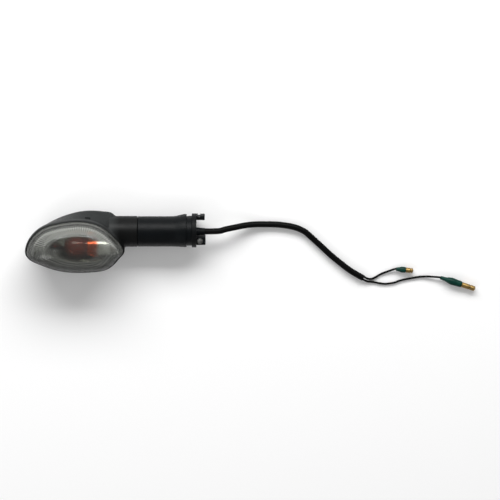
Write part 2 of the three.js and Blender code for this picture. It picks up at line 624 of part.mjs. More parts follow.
/** Lead from a point in the head to the cable's start in the neck, on one side of its middle. */
function lead([x, y, z], side) {
  const run = NECK_END - 4 - GAP;
  const middle = side * 1.2;
  const across = (share) => y + (middle - y) * share;
  return tube([[x, y, z], [x + 1, across(0.14), z], [x + 1.9, across(0.45), z * 0.7],
    [x + 4, across(0.85), z * 0.3], [run - 2, middle, 0], [run, middle, 0]], LEAD_RADIUS, 8, 14);
}

// ---------------------------------------------------------------- stalk and mount
function neckSeal() {
  const ring = pipeProfile(SPIGOT_END - SEAL_LENGTH, SPIGOT_END, CABLE_RADIUS + GAP, NECK_BORE - GAP);
  return turned(ring, 0, 0, 24);
}

/** Ring of the stalk at x, its middle raised above the axis. */
function stalkRing(x, radius, rise) {
  return Array.from({ length: ROUND }, (_, i) => {
    const turn = (2 * Math.PI * i) / ROUND;
    return new THREE.Vector3(x, rise + radius * Math.cos(turn), radius * Math.sin(turn));
  });
}

function rubberStalk() {
  const flareStart = GROOVE_START - FLARE_LENGTH;
  const swell = [0.2, 0.5, 0.85].map((t) => {
    const ease = t * t * (3 - 2 * t);
    const radius = STALK_RADIUS + ease * (FLARE_RADIUS - STALK_RADIUS);
    return stalkRing(flareStart + t * FLARE_LENGTH, radius, ease * FLARE_RISE);
  });
  const outer = solid(skin([
    stalkRing(STALK_START, STALK_RADIUS - 0.4, 0),
    stalkRing(STALK_START + 0.4, STALK_RADIUS, 0),
    stalkRing(flareStart, STALK_RADIUS, 0),
    ...swell,
    stalkRing(GROOVE_START, FLARE_RADIUS, FLARE_RISE),
    stalkRing(GROOVE_START, GROOVE_RADIUS, GROOVE_RISE),
    stalkRing(STALK_END, GROOVE_RADIUS, GROOVE_RISE),
  ]));
  const spigotFit = SPIGOT_RADIUS + GAP;
  const cuts = [
    rodX(STALK_START - 1, STALK_END + 1, STALK_BORE, 0, 0, 24),
    rodX(STALK_START - 1, SPIGOT_END + GAP, spigotFit),
    rodX(MOUNT_SPIGOT_START - GAP, STALK_END + 1, spigotFit),
  ];
  return geometryOf(cuts.reduce((body, cut) => body.subtract(solid(cut)), outer));
}

const stalkCable = () => rodX(NECK_END - 4, GROMMET_END - GAP, CABLE_RADIUS, 0, 0, 12);

function mountBracket() {
  const flange = solid(turned([
    [FLANGE_START, 0], [FLANGE_START, FLANGE_RADIUS], [FLANGE_END, FLANGE_RADIUS], [FLANGE_END, 0],
  ], FLANGE_RISE, 0));
  const recess = rodX(FLANGE_START - 1, FLANGE_START + GAP, GROOVE_RADIUS + GAP, GROOVE_RISE);
  const spigot = solid(rodX(MOUNT_SPIGOT_START, FLANGE_END - 1, SPIGOT_RADIUS));
  const lug = ({ length, low, high, width }) => solid(
    block([FLANGE_END - 1, low, -width / 2], [FLANGE_END + length, high, width / 2]));
  const bushX = FLANGE_END + BUSH_SET;
  const bushY = (LOWER_LUG.low + LOWER_LUG.high) / 2;
  const half = UPPER_LUG.width / 2 + 1;
  const slotStart = FLANGE_END + 1;
  const slotFloor = UPPER_LUG.high - UPPER_LUG.slotDepth;
  const cuts = [
    rodX(MOUNT_SPIGOT_START - 1, FLANGE_END + LOWER_LUG.length + 1, GROMMET_RADIUS + GAP, 0, 0, 24),
    rodZ(-LOWER_LUG.width, LOWER_LUG.width, BUSH_RADIUS + GAP, bushX, bushY, 24),
    block([slotStart, slotFloor, -half], [slotStart + UPPER_LUG.slot, UPPER_LUG.high + 1, half]),
  ];
  const body = flange.subtract(solid(recess)).add(spigot).add(lug(UPPER_LUG)).add(lug(LOWER_LUG));
  return geometryOf(cuts.reduce((whole, cut) => whole.subtract(solid(cut)), body));
}

function bracketBush() {
  const half = LOWER_LUG.width / 2;
  const y = (LOWER_LUG.low + LOWER_LUG.high) / 2;
  return upright(pipeProfile(-half, half, BUSH_BORE, BUSH_RADIUS), FLANGE_END + BUSH_SET, y, 20);
}

function cableGrommet() {
  const bore = CABLE_RADIUS + GAP;
  const start = FLANGE_START - 5;
  return turned([
    [start, bore], [start, GROMMET_RADIUS], [FLANGE_END + 2, GROMMET_RADIUS], [GROMMET_END, bore + 0.3],
    [GROMMET_END, bore], [start, bore],
  ], 0, 0, 20);
}

// ---------------------------------------------------------------- free cable, wires and plugs
const sheathStart = [GROMMET_END + GAP, 0, -HEAD_BACK];
const from = ([x, y, z]) => ([dx, dy, dz]) => [x + dx, y + dy, z + dz];
const sheathPoints = SHEATH_ROUTE.map(from(sheathStart));
const [endX, endY] = sheathPoints.at(-1);
const wirePoints = (route) => route.map(from([endX, endY, -HEAD_BACK]));

/** Green sleeve and bullet terminal that follow a wire's last point. */
function plug(route, { sleeve, bullet, heading }) {
  const [x, y, z] = wirePoints(route).at(-1);
  const place = (geometry) => geometry.rotateZ(THREE.MathUtils.degToRad(heading)).translate(x, y, z);
  const start = 2 * GAP;
  const end = sleeve.at(-1)[0] + start;
  const bulletStart = end + GAP;
  const groove = bulletStart + bullet * 0.55;
  const nose = bulletStart + bullet;
  const sleeveProfile = [[start, 0], ...sleeve.map(([along, r]) => [along + start, r]), [end, 0]];
  const bulletProfile = [
    [bulletStart, 0], [bulletStart, BULLET_RADIUS], [groove, BULLET_RADIUS],
    [groove + 0.4, BULLET_RADIUS - 0.5], [groove + 0.8, BULLET_RADIUS],
    [nose - 1, BULLET_RADIUS], [nose - 0.3, BULLET_RADIUS - 0.6], [nose, 0],
  ];
  return {
    sleeve: place(turned(sleeveProfile, 0, 0, 16)),
    bullet: place(turned(bulletProfile, 0, 0, 16)),
  };
}

// ---------------------------------------------------------------- assembly
add('housing', housing(), darkPlastic);
add('lens', lens(), clearPlastic);
add('lens_gasket', lensGasket(), rubber);
add('lens_screw', lensScrew(), plated);
add('screw_seal', screwSeal(), rubber);
add('reflector', reflector(), silverCoat);

add('bulb_glass', bulbGlass(), amberGlass);
add('bulb_stem', bulbStem(), clearGlass);
add('bulb_filament', bulbFilament(), tungsten);
add('bulb_cap', bulbCap(), plated);
add('bulb_insulator', bulbInsulator(), resin);
add('bulb_contact', bulbContact(), plated);

add('socket_shell', socketShell(), plated);
add('socket_cup', socketCup(), resin);
add('plunger_disc', plungerDisc(), resin);
add('centre_contact', centreContact(), brass);
add('contact_spring', contactSpring(), plated);
add('ground_terminal', groundTerminal(), brass);
const groundTab = BULB_Y + CUP_RADIUS + GAP + 1.3;
add('signal_lead', lead([SOCKET_END + 2 * GAP, BULB_Y, BULB_Z], -1), cablePvc);
add('ground_lead', lead([SOCKET_END - 1 + GAP, groundTab, BULB_Z], 1), cablePvc);

add('neck_seal', neckSeal(), rubber);
add('rubber_stalk', rubberStalk(), rubber);
add('stalk_cable', stalkCable(), cablePvc);
add('mount_bracket', mountBracket(), blackPlastic);
add('bracket_bush', bracketBush(), plated);
add('cable_grommet', cableGrommet(), rubber);

// The lamp stands with its lowest face on z = 0 and its body's middle over the origin.
const bodyBox = new THREE.Box3().setFromObject(pieces);
const bodyMiddle = bodyBox.getCenter(new THREE.Vector3());
pieces.position.set(-bodyMiddle.x, -bodyMiddle.y, -bodyBox.min.z);

add('cable_sheath', tube(sheathPoints, CABLE_RADIUS, 10, 44), cablePvc);
add('signal_wire', tube(wirePoints(SIGNAL_ROUTE), LEAD_RADIUS, 8, 24), cablePvc);
add('ground_wire', tube(wirePoints(GROUND_ROUTE), LEAD_RADIUS, 8, 12), cablePvc);
const signalPlug = plug(SIGNAL_ROUTE, SIGNAL_PLUG);
const groundPlug = plug(GROUND_ROUTE, GROUND_PLUG);
add('signal_sleeve', signalPlug.sleeve, greenPvc);
add('signal_bullet', signalPlug.bullet, brass);
add('ground_sleeve', groundPlug.sleeve, greenPvc);
add('ground_bullet', groundPlug.bullet, brass);

const lamp = new THREE.Group();
lamp.name = 'turn_signal';
lamp.add(pieces);
export default lamp;
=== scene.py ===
# Looks of the motorcycle turn signal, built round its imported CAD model.
# Shapes are drawn in the head frame: millimetres, the head's tip at x = 0 and the stalk axis at y = z = 0.
import math

import bmesh
import bpy
import numpy as np
from mathutils import Matrix, Vector
from mathutils.kdtree import KDTree


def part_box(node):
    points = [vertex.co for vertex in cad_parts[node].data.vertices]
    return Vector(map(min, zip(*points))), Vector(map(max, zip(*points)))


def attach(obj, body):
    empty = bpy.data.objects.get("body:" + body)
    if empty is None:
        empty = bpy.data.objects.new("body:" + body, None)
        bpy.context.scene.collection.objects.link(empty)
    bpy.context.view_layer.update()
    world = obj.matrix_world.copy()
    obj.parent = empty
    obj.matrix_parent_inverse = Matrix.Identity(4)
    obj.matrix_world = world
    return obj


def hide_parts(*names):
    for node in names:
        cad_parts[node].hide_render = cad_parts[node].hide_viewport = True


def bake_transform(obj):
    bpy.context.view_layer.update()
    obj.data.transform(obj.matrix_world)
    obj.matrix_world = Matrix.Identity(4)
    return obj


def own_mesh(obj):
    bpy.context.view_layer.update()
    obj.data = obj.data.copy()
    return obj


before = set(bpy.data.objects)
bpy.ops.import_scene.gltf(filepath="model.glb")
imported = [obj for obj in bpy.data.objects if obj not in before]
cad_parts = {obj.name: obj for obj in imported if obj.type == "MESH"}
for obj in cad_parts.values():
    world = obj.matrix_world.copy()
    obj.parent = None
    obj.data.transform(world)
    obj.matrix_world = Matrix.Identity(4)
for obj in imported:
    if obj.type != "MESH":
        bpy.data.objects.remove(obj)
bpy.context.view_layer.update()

# ---------------------------------------------------------------- sizes, as in the CAD model
MM = 0.001
GAP = 0.3
HEAD_LENGTH = 75
HEAD_HEIGHT = 39.7
RIM_MIDDLE = -8.25
HEAD_BACK = 13
SHOULDER_DEPTH = 2
BACK_SHARE = 0.5
HOUSING_WALL = 2.2
LEDGE_Z = 10.4
LEDGE_WIDTH = 2.2
LEDGE_THICKNESS = 1.5
LENS_BASE_Z = 12
LIP_TOP_Z = 13
LIP_OUT = 1.2
DOME_HEIGHT = 17
DOME_POWER = 2.2
LENS_WALL = 1.8
TAB_X = 47.5
TAB_HALF = 1.7
TAB_THICKNESS = 1.5
HOOK_Z = 6.2
HOOK_HEIGHT = 1.6
SCREW = (9.75, -11.25)
SCREW_RADIUS = 1.45
SCREW_HEAD_RADIUS = 3.1
SCREW_REACH = 8
POST_RADIUS = 2.8
POST_FOOT_Z = 1.5
BOSS_RADIUS = 4.6
BULB_Y = -10.8
BULB_Z = 4
BULB_TIP = 29.3
GLASS_RADIUS = 8.6
GLASS_WALL = 0.7
CAP_START = 47.3
CAP_END = 61.9
CAP_RADIUS = 7.5
PIN_X = 55.7
PIN_HEIGHT = 1
TURN_DEGREES = 20
SHELL_START = 50.8
SHELL_END = 64.5
SHELL_RADIUS = 8.2
SHELL_BORE = 7.8
CUP_START = 64.8
CUP_BORE = 4.7
CUP_RADIUS = 5.6
SOCKET_END = 70
SPRING_START = 65.05
SPRING_RUN = 3.5
SPRING_RADIUS = 3
SPRING_WIRE = 0.25
SPRING_TURNS = 3
REFLECTOR_SHARE = 0.72
REFLECTOR_WALL = 1.2
REFLECTOR_TOP_Z = 9.6
TROUGH_MIDDLE = 40.65
TROUGH_HALF = 25.35
TROUGH_RADIUS = 9.8
TROUGH_TOP_Z = 6
TROUGH_FLOOR_Z = -6.1
TROUGH_FLOOR_SHARE = 0.5
NECK_RADIUS = 11.8
NECK_END = 85.7
NECK_BORE = 7.2
SPIGOT_RADIUS = 8.4
SPIGOT_END = 94.7
STALK_START = 86
STALK_RADIUS = 11.6
STALK_BORE = 3.2
FLARE_RADIUS = 12.7
FLARE_LENGTH = 11
FLARE_RISE = 0.7
GROOVE_START = 123
GROOVE_RADIUS = 11.4
GROOVE_RISE = 0.5
STALK_END = 126.7
STALK_MIDDLE = 106.35
MOUNT_SPIGOT_START = 118
FLANGE_START = 127
FLANGE_END = 130.5
FLANGE_RADIUS = 13
FLANGE_RISE = 0.8
BUSH = (133.2, -6.65)
BUSH_RADIUS = 2.1
BUSH_BORE = 1.4
CABLE_RADIUS = 2.35
LEAD_RADIUS = 0.8
GROMMET_RADIUS = 3.1
GROMMET_END = 136.9
BULLET_RADIUS = 1.95

stalk_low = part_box("rubber_stalk")[0]
cable_low, cable_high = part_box("stalk_cable")
SHIFT = np.array([
    stalk_low.x / MM - STALK_START,
    (cable_low.y + cable_high.y) / 2 / MM,
    (cable_low.z + cable_high.z) / 2 / MM,
])


def row(points):
    """Points of the head frame as metres in the row frame."""
    return (np.asarray(points, float) + SHIFT) * MM


# ---------------------------------------------------------------- camera
VIEW_TILT = math.radians(-18)
VIEW_DISTANCE = 6
VIEW_WIDTH = 0.3835
VIEW_MIDDLE = Vector(row([171.5, -19.2, -13]))

camera_data = bpy.data.cameras.new("camera")
camera_data.sensor_width = 36
camera_data.lens = 36 * VIEW_DISTANCE / VIEW_WIDTH
camera_data.clip_end = 20
camera = bpy.data.objects.new("camera", camera_data)
camera.rotation_euler = (VIEW_TILT, 0, 0)
camera.location = VIEW_MIDDLE + VIEW_DISTANCE * Vector((0, -math.sin(VIEW_TILT), math.cos(VIEW_TILT)))
bpy.context.scene.collection.objects.link(camera)
bpy.context.scene.camera = camera


# ---------------------------------------------------------------- shape helpers
def spline(points, count, closed=False):
    """Points along the centripetal Catmull-Rom curve that the CAD model uses."""
    p = np.asarray(points, float)
    n = len(p)
    if closed:
        knots = [p[(i - 1) % n] for i in range(n + 3)]
        spans = n
    else:
        knots = [2 * p[0] - p[1], *p, 2 * p[-1] - p[-2]]
        spans = n - 1
    out = []
    for t in np.arange(count) * spans / (count if closed else count - 1):
        i = min(int(t), spans - 1)
        w = t - i
        a, b, c, d = knots[i:i + 4]
        d0, d1, d2 = (max(np.linalg.norm(v) ** 0.5, 1e-6) for v in (b - a, c - b, d - c))
        m0 = d1 * ((b - a) / d0 - (c - a) / (d0 + d1) + (c - b) / d1)
        m1 = d1 * ((c - b) / d1 - (d - b) / (d1 + d2) + (d - c) / d2)
        out.append(b + m0 * w + (3 * (c - b) - 2 * m0 - m1) * w ** 2 + (2 * (b - c) + m0 + m1) * w ** 3)
    return np.array(out)


def rounded(profile, radius):
    """Open polyline with every inner corner eased by up to radius."""
    p = [np.asarray(q, float) for q in profile]
    out = [p[0]]
    for a, b, c in zip(p, p[1:], p[2:]):
        before, after = a - b, c - b
        la, lc = np.linalg.norm(before), np.linalg.norm(after)
        r = min(radius, la / 2.2, lc / 2.2)
        start, end = b + before / la * r, b + after / lc * r
        for t in (0, 0.25, 0.5, 0.75, 1):
            out.append((1 - t) ** 2 * start + 2 * t * (1 - t) * b + t ** 2 * end)
    return [*out, p[-1]]


def mesh_object(name, vertices, faces):
    mesh = bpy.data.meshes.new(name)
    mesh.from_pydata([tuple(map(float, v)) for v in vertices], [], faces)
    bm = bmesh.new()
    bm.from_mesh(mesh)
    bmesh.ops.remove_doubles(bm, verts=bm.verts, dist=1e-3)
    bmesh.ops.recalc_face_normals(bm, faces=bm.faces)
    bm.to_mesh(mesh)
    bm.free()
    obj = bpy.data.objects.new(name, mesh)
    bpy.context.scene.collection.objects.link(obj)
    return obj


def skin(name, rings, loop=False):
    """Surface over rings of equal count; the ends get flat faces unless the rings close on themselves."""
    rings = [np.asarray(r, float) for r in rings]
    n = len(rings[0])
    faces = []
    for k in range(len(rings) if loop else len(rings) - 1):
        low, high = k * n, (k + 1) % len(rings) * n
        faces += [(low + i, low + (i + 1) % n, high + (i + 1) % n, high + i) for i in range(n)]
    vertices = [v for r in rings for v in r]
    if not loop:
        for first, ring in ((0, rings[0]), ((len(rings) - 1) * n, rings[-1])):
            if np.ptp(ring, axis=0).max() > 1e-3:
                vertices.append(ring.mean(0))
                faces += [(first + i, first + (i + 1) % n, len(vertices) - 1) for i in range(n)]
    return mesh_object(name, vertices, faces)


def turned(name, profile, y=0, z=0, sides=72, loop=False, axis="X"):
    """Turned piece: profile points are [along, radius], or [along, radius, rise] where the middle rises."""
    turn = 2 * math.pi * np.arange(sides) / sides
    rings = []
    for along, radius, *rise in profile:
        up = rise[0] if rise else 0
        a, b = up + radius * np.cos(turn), radius * np.sin(turn)
        if axis == "X":
            rings.append(np.stack([np.full(sides, along), y + a, z + b], 1))
        else:
            rings.append(np.stack([y + a, z + b, np.full(sides, along)], 1))
    return skin(name, rings, loop)


def rod(start, end, radius, y=0, z=0, axis="X", sides=72):
    return turned("cutter", [[start, 0], [start, radius], [end, radius], [end, 0]], y, z, sides, axis=axis)


def block(low, high, ease=0, name="block"):
    bm = bmesh.new()
    bmesh.ops.create_cube(bm, size=1)
    size = np.subtract(high, low)
    middle = np.add(high, low) / 2
    bmesh.ops.transform(bm, verts=bm.verts, matrix=Matrix.Translation(middle) @ Matrix.Diagonal((*size, 1)))
    if ease:
        bmesh.ops.bevel(bm, geom=bm.edges[:], offset=ease, segments=3, profile=0.5, affect="EDGES")
    mesh = bpy.data.meshes.new(name)
    bm.to_mesh(mesh)
    bm.free()
    obj = bpy.data.objects.new(name, mesh)
    bpy.context.scene.collection.objects.link(obj)
    return obj


def settle(obj):
    """The object's mesh with its modifiers applied."""
    deps = bpy.context.evaluated_depsgraph_get()
    mesh = bpy.data.meshes.new_from_object(obj.evaluated_get(deps))
    old = obj.data
    obj.modifiers.clear()
    obj.data = mesh
    bpy.data.meshes.remove(old)
    return obj


def combine(obj, others, operation="DIFFERENCE"):
    """Cuts away, adds or keeps the shared part of other objects, which are used up."""
    for other in others:
        change = obj.modifiers.new("change", "BOOLEAN")
        change.operation = operation
        change.solver = "MANIFOLD"
        change.object = other
        settle(obj)
        bpy.data.objects.remove(other)
    return obj


def soften(obj, voxel, passes):
    """One even skin over overlapping shapes, its creases rounded."""
    remesh = obj.modifiers.new("remesh", "REMESH")
    remesh.mode = "VOXEL"
    remesh.voxel_size = voxel
    smooth = obj.modifiers.new("smooth", "SMOOTH")
    smooth.factor = 0.5
    smooth.iterations = passes
    return settle(obj)


def merged(name, objects):
    """One object from several, which are used up."""
    bm = bmesh.new()
    for o in objects:
        bm.from_mesh(o.data)
        bpy.data.objects.remove(o)
    mesh = bpy.data.meshes.new(name)
    bm.to_mesh(mesh)
    bm.free()
    obj = bpy.data.objects.new(name, mesh)
    bpy.context.scene.collection.objects.link(obj)
    return obj


def place(obj, name, body, material, nodes, angle=32):
    """Puts a finished shape in the row frame, smooth up to the angle, riding on its body."""
    obj.name = name
    obj.data.name = name
    obj.data.transform(Matrix.Diagonal((MM, MM, MM, 1)) @ Matrix.Translation(SHIFT))
    obj.data.shade_smooth()
    obj.data.set_sharp_from_angle(angle=math.radians(angle))
    obj.data.materials.clear()
    obj.data.materials.append(FINISH[material])
    for node in nodes:
        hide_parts(node)
    if body:
        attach(obj, body)
    return obj


# ---------------------------------------------------------------- head outlines
RIM_SHAPE = [
    [0.011, -0.125], [0.045, -0.238], [0.16, -0.352], [0.373, -0.48], [0.627, -0.5], [0.833, -0.43],
    [0.947, -0.221], [0.995, -0.08], [0.887, 0.215], [0.747, 0.42], [0.573, 0.5], [0.347, 0.46],
    [0.16, 0.339], [0.045, 0.107],
]
SHOULDER_SHAPE = [
    [0.04, -0.12], [0.08, -0.232], [0.187, -0.334], [0.387, -0.455], [0.627, -0.473], [0.813, -0.409],
    [0.933, -0.234], [1.013, -0.045], [0.9, 0.528], [0.773, 0.588], [0.573, 0.588], [0.347, 0.463],
    [0.173, 0.277], [0.07, 0.08],
]
BOWL_MIDDLE = (42, -4.75)
DOME_MIDDLE = (0.547 * HEAD_LENGTH, RIM_MIDDLE + 1.25)
RING = 280


def outline(shape, grow, z, share=1, middle=BOWL_MIDDLE, count=RING):
    """Closed smooth outline moved out by grow, at height z, shrunk to share of its size about a point."""
    scale = np.array([HEAD_LENGTH, HEAD_HEIGHT])
    corners = np.array(middle) + share * (np.array(shape) * scale + [0, RIM_MIDDLE] - np.array(middle))
    ring = spline(corners, count, closed=True)
    along = np.roll(ring, -1, 0) - np.roll(ring, 1, 0)
    along /= np.linalg.norm(along, axis=1)[:, None]
    grown = ring + grow * np.stack([along[:, 1], -along[:, 0]], 1)
    return np.column_stack([grown, np.full(count, z)])


def bowl_rings(wall):
    rings = []
    for degrees in np.linspace(90, 0, 25):
        angle = math.radians(degrees)
        share = 1 - (1 - BACK_SHARE) * (1 - math.cos(angle))
        z = -SHOULDER_DEPTH - (HEAD_BACK - wall - SHOULDER_DEPTH) * math.sin(angle)
        rings.append(outline(SHOULDER_SHAPE, -wall, z, share))
    return rings


def upper_edge(ring, x):
    near = [p[1] for p in ring if abs(p[0] - x) < 1]
    return max(near)


# ---------------------------------------------------------------- housing
def housing():
    """Bowl and neck in one smooth moulding, then hollowed, bored and seated for the lens."""
    bowl = skin("housing", [
        *bowl_rings(0.02),
        outline(RIM_SHAPE, LIP_OUT, LEDGE_Z - LEDGE_THICKNESS),
        outline(RIM_SHAPE, LIP_OUT, LIP_TOP_Z),
    ])
    neck = turned("neck", rounded([
        [63.2, 0], [63.2, NECK_RADIUS], [NECK_END, NECK_RADIUS], [NECK_END, 0],
    ], 0.3))
    body = soften(merged("housing", [bowl, neck]), 0.55, 6)
    spigot = turned("spigot", rounded([
        [NECK_END - 2, 0], [NECK_END - 2, SPIGOT_RADIUS], [SPIGOT_END, SPIGOT_RADIUS], [SPIGOT_END, 0],
    ], 0.5))
    combine(body, [spigot], "UNION")
    hollow = skin("hollow", [
        *bowl_rings(HOUSING_WALL),
        outline(RIM_SHAPE, -LEDGE_WIDTH, LEDGE_Z - LEDGE_THICKNESS),
        outline(RIM_SHAPE, -LEDGE_WIDTH, LIP_TOP_Z + 2),
    ])
    pocket = skin("pocket", [outline(RIM_SHAPE, GAP, LEDGE_Z), outline(RIM_SHAPE, GAP, 2 * LIP_TOP_Z)])
    bore = rod(60, SPIGOT_END + 1, NECK_BORE)
    combine(body, [hollow, pocket, bore])
    boss = rod(-HEAD_BACK + 0.5, 1.2, BOSS_RADIUS, *SCREW, axis="Z")
    ribs = [block([x, BULB_Y - 6, -HEAD_BACK + 0.5], [x + 2.2, BULB_Y + 6, -7.6]) for x in (33.3, 50.8)]
    for part in (boss, *ribs):
        combine(part, [skin("inside", bowl_rings(0.8))], "INTERSECT")
        combine(body, [part], "UNION")
    rim_y = upper_edge(outline(RIM_SHAPE, 0, 0), TAB_X)
    combine(body, [
        rod(SHELL_START - 1, CUP_START, CAP_RADIUS + PIN_HEIGHT + GAP, BULB_Y, BULB_Z),
        rod(CUP_START - 1, SOCKET_END + GAP, CUP_RADIUS + GAP, BULB_Y, BULB_Z),
        rod(-HEAD_BACK - 1, -2, SCREW_HEAD_RADIUS + GAP, *SCREW, axis="Z"),
        rod(-3, POST_FOOT_Z, SCREW_RADIUS + GAP, *SCREW, axis="Z"),
        block([TAB_X - TAB_HALF - GAP, rim_y - 8, HOOK_Z - GAP],
              [TAB_X + TAB_HALF + GAP, rim_y + 8, HOOK_Z + HOOK_HEIGHT + GAP]),
    ])
    return body


# ---------------------------------------------------------------- lens
FLUTE_PITCH = 2
DOME_COLUMNS = 840
DOME_ROWS = 59


def dome(wall):
    """Rings of the dome from its base up, wall inside the outer face."""
    base = outline(RIM_SHAPE, -wall, LENS_BASE_Z, count=DOME_COLUMNS)
    rings = []
    for degrees in np.linspace(0, 90, DOME_ROWS):
        angle = math.radians(degrees)
        share = max(math.cos(angle), 1e-4) ** (2 / DOME_POWER)
        z = LENS_BASE_Z + (DOME_HEIGHT - wall) * math.sin(angle) ** (2 / DOME_POWER)
        ring = base.copy()
        ring[:, :2] = np.array(DOME_MIDDLE) + share * (base[:, :2] - DOME_MIDDLE)
        ring[:, 2] = z
        rings.append(ring)
    return rings


def step(value, start, end):
    """From 0 at start to 1 at end, smooth at both."""
    t = np.clip((value - start) / (end - start), 0, 1)
    return t * t * (3 - 2 * t)


def press(ring, depth, degrees):
    """Moves a ring of the dome inwards by depth, square to the dome."""
    push = DOME_MIDDLE - ring[:, :2]
    push /= np.maximum(np.linalg.norm(push, axis=1), 1e-6)[:, None]
    ring[:, :2] += push * (depth * math.cos(math.radians(degrees)))[:, None]
    ring[:, 2] -= depth * math.sin(math.radians(degrees))


def lens():
    """Thick clear dome: flutes in its upper band, fine lines in its lower side, a plain window between."""
    outer = dome(0)
    inner = dome(LENS_WALL)
    base = outer[0][:, :2]
    run = np.concatenate([[0], np.cumsum(np.linalg.norm(np.roll(base, -1, 0) - base, axis=1))])
    flutes = round(run[-1] / FLUTE_PITCH)
    wave = 0.5 + 0.5 * np.cos(2 * math.pi * flutes * run[:-1] / run[-1])
    side = step(base[:, 1], RIM_MIDDLE + 1, RIM_MIDDLE + 7)
    near_neck = 1 - 0.7 * step(base[:, 0], 58, 70)
    haze_and_highlight_out, frost_in = [], []
    for k, (out, into) in enumerate(zip(outer, inner)):
        degrees = 90 * k / (DOME_ROWS - 1)
        band = side * step(degrees, 23, 26) * (1 - step(degrees, 47, 50))
        lines = (1 - side) * (1 - step(degrees, 66, 72)) * step(degrees, 6, 12)
        ridge = 0.5 + 0.5 * math.cos(degrees * 0.8)
        press(into, 0.25 * band * wave + 0.12 * lines * ridge, degrees)
        press(out, 0.28 * band * (1 - wave), degrees)
        below = step(degrees, 19, 22) * (1 - step(degrees, 22, 25))
        above = step(degrees, 50, 52) * (1 - step(degrees, 52, 55))
        ease = side * (below + above)
        out[:, 2] += 0.18 * ease
        rim = 0.3 * (1 - step(degrees, 8, 16)) + 0.12 * (1 - step(degrees, 50, 56))
        plain = near_neck * (rim + lines * (0.12 + 0.3 * ridge))
        # Haze per vertex: grey haze on the rim and over the fine lines of the lower side, and on the outer
        # face thin stripes along the flute crests, which are painted highlight standing in for the light the
        # flutes catch.
        frost_in.append(np.maximum(0.04 * band, plain))
        haze_and_highlight_out.append(np.maximum(0.95 * band * wave ** 4, rim * 0.4) + 0.08 * lines + 0.15 * ease)
    body = skin("lens", [*outer[::-1], *inner])
    shade(body, np.concatenate([*outer, *inner]), np.concatenate([*haze_and_highlight_out, *frost_in]))
    return body


def shade(obj, points, values):
    """Stores a value per vertex as the attribute 'frost', matched by place."""
    tree = KDTree(len(points))
    for i, p in enumerate(points):
        tree.insert(p, i)
    tree.balance()
    found = [values[tree.find(v.co)[1]] for v in obj.data.vertices]
    attribute = obj.data.attributes.new("haze_and_painted_highlight", "FLOAT", "POINT")
    attribute.data.foreach_set("value", np.array(found, np.float32))


def lens_feet():
    """Screw post and snap tab, moulded with the lens."""
    bore = SCREW_RADIUS + GAP
    post = turned("post", rounded([
        [POST_FOOT_Z, bore], [POST_FOOT_Z, POST_RADIUS], [22.5, POST_RADIUS], [22.5, 0],
        [SCREW_REACH + 2 * GAP, 0], [SCREW_REACH + GAP, bore], [POST_FOOT_Z, bore],
    ], 0.3), *SCREW, axis="Z")
    rim_y = upper_edge(outline(RIM_SHAPE, 0, 0), TAB_X)
    inner = rim_y - LEDGE_WIDTH - 2 * GAP
    corner = [TAB_X - TAB_HALF, inner - TAB_THICKNESS, HOOK_Z]
    leg = block(corner, [TAB_X + TAB_HALF, inner, LENS_BASE_Z + 1.6], 0.2)
    hook = block(corner, [TAB_X + TAB_HALF, rim_y + 0.6, HOOK_Z + HOOK_HEIGHT], 0.2)
    return merged("lens_feet", [post, leg, hook])


# ---------------------------------------------------------------- reflector
def trough_rings(wall):
    rings = []
    turn = math.pi + 2 * math.pi * np.arange(RING) / RING
    for degrees in np.linspace(90, 0, 15):
        angle = math.radians(degrees)
        share = 1 - TROUGH_FLOOR_SHARE * (1 - math.cos(angle))
        z = TROUGH_TOP_Z - wall - (TROUGH_TOP_Z - TROUGH_FLOOR_Z) * math.sin(angle)
        x = TROUGH_MIDDLE + (TROUGH_HALF + wall) * share * np.cos(turn)
        y = BULB_Y + (TROUGH_RADIUS + wall) * share * np.sin(turn)
        rings.append(np.stack([x, y, np.full(RING, z)], 1))
    return rings


def reflector():
    """Metallised dish: a trough round the bulb, then a sloping flange with long shallow facets."""
    middle = (45, RIM_MIDDLE)
    heights = (REFLECTOR_TOP_Z, REFLECTOR_TOP_Z - REFLECTOR_WALL)
    edge = [outline(RIM_SHAPE, 0, z, REFLECTOR_SHARE, middle) for z in heights]
    lip = outline(RIM_SHAPE, -0.8, REFLECTOR_TOP_Z, REFLECTOR_SHARE, middle)
    inside = trough_rings(0)
    slope = []
    for t in (0.12, 0.3, 0.5, 0.7, 0.88):
        between = inside[-1] + (lip - inside[-1]) * t
        between[:, 2] += 0.5 * math.sin(2 * math.pi * t * 2)
        slope.append(between)
    under = trough_rings(REFLECTOR_WALL)[::-1]
    body = skin("reflector", [*inside, *slope, lip, *edge, *under])
    hole = rod(SHELL_START - GAP, HEAD_LENGTH, CAP_RADIUS + PIN_HEIGHT + GAP, BULB_Y, BULB_Z)
    return combine(body, [hole])


# ---------------------------------------------------------------- materials
def shader(name):
    material = bpy.data.materials.new(name)
    material.use_nodes = True
    tree = material.node_tree
    tree.nodes.clear()
    return material, tree


def node(tree, kind, inputs=(), **settings):
    """Adds a node; inputs maps a socket to a value or to another node's output."""
    made = tree.nodes.new("ShaderNode" + kind)
    for key, value in settings.items():
        setattr(made, key, value)
    for key, value in dict(inputs).items():
        if isinstance(value, bpy.types.NodeSocket):
            tree.links.new(value, made.inputs[key])
        else:
            made.inputs[key].default_value = value
    return made


def noise(tree, scale, detail=3):
    """Noise over the row frame; scale is in cells per metre."""
    place_in = node(tree, "TexCoord").outputs["Object"]
    return node(tree, "TexNoise", {"Vector": place_in, "Scale": scale, "Detail": detail}).outputs["Fac"]


def spread(tree, value, low, high, start=0.3, end=0.7):
    """A noise value turned into a range."""
    ranged = node(tree, "MapRange", {
        "Value": value, "From Min": start, "From Max": end, "To Min": low, "To Max": high,
    })
    return ranged.outputs["Result"]


def tinted(tree, colour, factor):
    """Constant colour times a factor."""
    scaled = node(tree, "VectorMath", {0: colour, "Scale": factor}, operation="SCALE")
    return scaled.outputs["Vector"]


